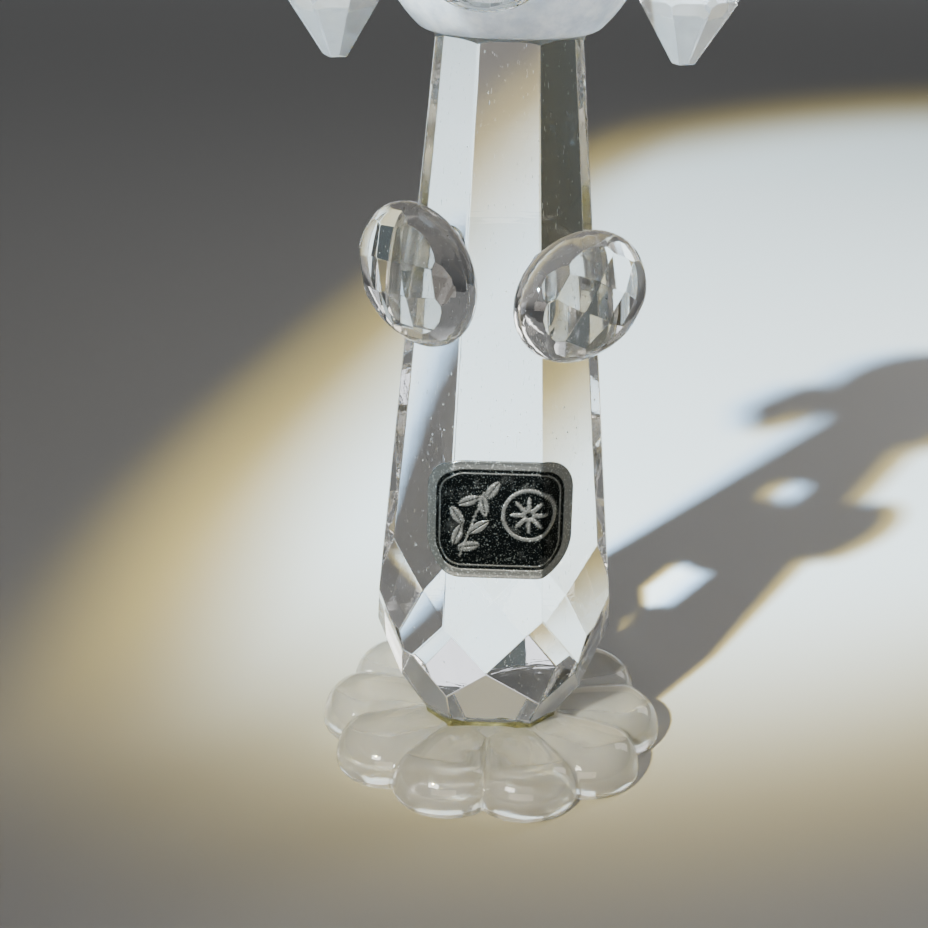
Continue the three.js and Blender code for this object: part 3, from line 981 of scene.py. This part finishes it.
def surround(name, radius, height, colour, glow):
    """A plain pale wall all round the set, which casts no light on it."""
    bm = bmesh.new()
    rows = [
        [
            bm.verts.new(direction(360 * j / WALL_COLUMNS) * radius + on_axis(z))
            for j in range(WALL_COLUMNS)
        ]
        for z in (FLOOR_Z, height)
    ]
    for j in range(WALL_COLUMNS):
        k = (j + 1) % WALL_COLUMNS
        bm.faces.new((rows[0][j], rows[0][k], rows[1][k], rows[1][j]))
    stage_board(name, bm, colour, ("diffuse", "glossy", "shadow"), glow, smooth=True)


def flag(name, edge_start, edge_end, depth, share, towards):
    """A board that ends a light's pool along a line on the floor, a share of the way to it."""
    back = Vector((depth, 0, 0))
    bm = bmesh.new()
    corners = (edge_start, edge_end, edge_end - back, edge_start - back)
    bm.faces.new([bm.verts.new(corner.lerp(towards, share)) for corner in corners])
    stage_board(name, bm, (0.05, 0.05, 0.05), ("camera",))


AIM = Vector((0, 0, 0.06))
KEY_DISTANCE = 1.3
POOL = Vector((0.085, 0.205, 0))
KEY = POOL + direction(-31, 31) * KEY_DISTANCE
RIM_SHIFT = Vector((0.026, -0.006, 0))  # the warm light stands beside the key; its pool is wider

card("floor", (FLOOR_SIZE, FLOOR_SIZE), (0, 0, FLOOR_Z), (0, 0, 1), FLOOR_COLOUR)
surround("surround", 3.0, 5.0, (0.80, 0.80, 0.78), glow=0.16)
# shade: a black card that only the glass shows, painted shade that darkens the top of the prism's
# right face
card(
    "shade", (0.055, 0.055), (-0.048, 0.099, 0.036), (0, 0, 0.08), (0.03, 0.03, 0.03), GLASS_ONLY
)
flag("flag", Vector((-0.074, -0.08, 0)), Vector((0.060, 0.47, 0)), 0.4, 0.46, KEY)
for name, height, z, colour, glow in (
    ("low_back", 0.13, 0.065, (0.93, 0.95, 1.0), 1.3),
    ("warm_back", 0.42, 0.34, (1.0, 0.93, 0.72), 0.33),
):
    card(name, (1.4, height), (0, 1.2, z), (0, 0, z), colour, GLASS_ONLY, glow)

# ------------------------------------------------------------------ lights

WHITE = (1.0, 1.0, 1.0)
SPOTS = (  # position, half the cone's angle in degrees, power and colour
    ("pool", KEY, 6.2, 205.0, (0.46, 0.71, 1.0)),
    ("pool_rim", KEY + RIM_SHIFT, 7.2, 75.0, (1.0, 0.80, 0.22)),
)
SPOT_SETTINGS = {"spot_blend": 0.4, "shadow_soft_size": 0.02}
SOFTBOXES = (  # size, position, target, power and colour
    ("window", (0.30, 0.45), (-0.42, -0.38, 0.50), AIM, 0.4, (0.95, 0.98, 1.0)),
    ("top", (0.5, 0.5), (0.1, 0.1, 0.9), AIM, 0.2, WHITE),
    ("rear_strip", (0.1, 0.2), (0.26, 0.17, 0.16), (0.03, 0.04, 0), 0.18, (1.0, 0.98, 0.94)),
    ("front_fill", (0.3, 0.1), (-0.02, -0.32, 0.10), (0, -0.02, 0), 0.26, (1.0, 0.91, 0.80)),
    ("head_rim", (0.1, 0.1), (0.238, 0.127, 0.05), (0, 0, 0.098), 1.1, WHITE),
    ("foot_front", (0.1, 0.06), (-0.12, -0.22, 0.16), (0, 0, 0), 0.35, WHITE),
)
EARS = ("ear_left_cut", "ear_right_cut")
LIT_BY = {  # the only pieces that each of these lamps lights
    "head_rim": ("head_etched", *EARS),
    "foot_front": ("foot_pressed", *EARS, "head_etched"),
}
CAUSTIC_PIECES = ("body_prism_cut", "paw_left_cut", "paw_right_cut", *EARS)


def add_light(name, kind, position, target, power, colour, **settings):
    light = bpy.data.lights.new(name, kind)
    light.energy = power
    light.color = colour
    for key, value in settings.items():
        setattr(light, key, value)
    lamp = bpy.data.objects.new(name, light)
    bpy.context.scene.collection.objects.link(lamp)
    lamp.matrix_world = aimed(position, target, "-Z")
    lamp.visible_camera = False
    return lamp


for name, position, half_angle, power, colour in SPOTS:
    cone = math.radians(2 * half_angle)
    settings = {"spot_size": cone, **SPOT_SETTINGS}
    lamp = add_light(name, "SPOT", position, POOL, power, colour, **settings)
    lamp.data.cycles.is_caustics_light = True
for name, size, position, target, power, colour in SOFTBOXES:
    settings = {"shape": "RECTANGLE", "size": size[0], "size_y": size[1]}
    lamp = add_light(name, "AREA", position, target, power, colour, **settings)
    if name in LIT_BY:
        group = bpy.data.collections.new(f"{name}_lit")
        for piece_name in LIT_BY[name]:
            group.objects.link(bpy.data.objects[piece_name])
        lamp.light_linking.receiver_collection = group
for name in CAUSTIC_PIECES:
    bpy.data.objects[name].cycles.is_caustics_caster = True
bpy.data.objects["floor"].cycles.is_caustics_receiver = True

SKY_LOW, SKY_HIGH = (0.20, 0.21, 0.22), (0.55, 0.57, 0.60)
SKY_STRENGTH = 0.17


def sky():
    """A dim dome that pales towards the zenith."""
    world = bpy.data.worlds.new("studio")
    bpy.context.scene.world = world
    world.use_nodes = True
    tree = world.node_tree
    upward = node(tree, "ShaderNodeTexCoord").outputs["Generated"]
    height = node(tree, "ShaderNodeSeparateXYZ", {"Vector": upward}).outputs["Z"]
    colour = mix_colour(tree, remap(tree, height, 0.0, 0.9), SKY_LOW, SKY_HIGH)
    background = tree.nodes["Background"]
    tree.links.new(colour, background.inputs["Color"])
    background.inputs["Strength"].default_value = SKY_STRENGTH


sky()

# ------------------------------------------------------------------ camera

CAMERA_DISTANCE = 0.18114
CAMERA_HEIGHT = 0.11362
CAMERA_AZIMUTH = 0.18
CAMERA_ROLL = 1.1
CAMERA_LENS = 61.53
SENSOR_WIDTH = 36
CAMERA_AIM = Vector((-0.00416, 0, 0.03779))


def camera():
    data = bpy.data.cameras.new("camera")
    data.lens = CAMERA_LENS
    data.sensor_width = SENSOR_WIDTH
    data.clip_start = 5 * MM
    made = bpy.data.objects.new("camera", data)
    bpy.context.scene.collection.objects.link(made)
    position = direction(CAMERA_AZIMUTH) * CAMERA_DISTANCE + on_axis(CAMERA_HEIGHT)
    forward = (CAMERA_AIM - position).normalized()
    level = forward.cross(Vector((0, 0, 1))).normalized()
    upright = level.cross(forward)
    roll = math.radians(CAMERA_ROLL)
    right = level * math.cos(roll) + upright * math.sin(roll)
    up = upright * math.cos(roll) - level * math.sin(roll)
    turn = Matrix((right, up, -forward)).transposed().to_4x4()
    made.matrix_world = Matrix.Translation(position) @ turn
    bpy.context.scene.camera = made


camera()

bpy.context.scene.view_settings.look = "AgX - Medium High Contrast"
cycles = bpy.context.scene.cycles
cycles.max_bounces = 32
cycles.transmission_bounces = 32
cycles.glossy_bounces = 24

bpy.context.view_layer.update()
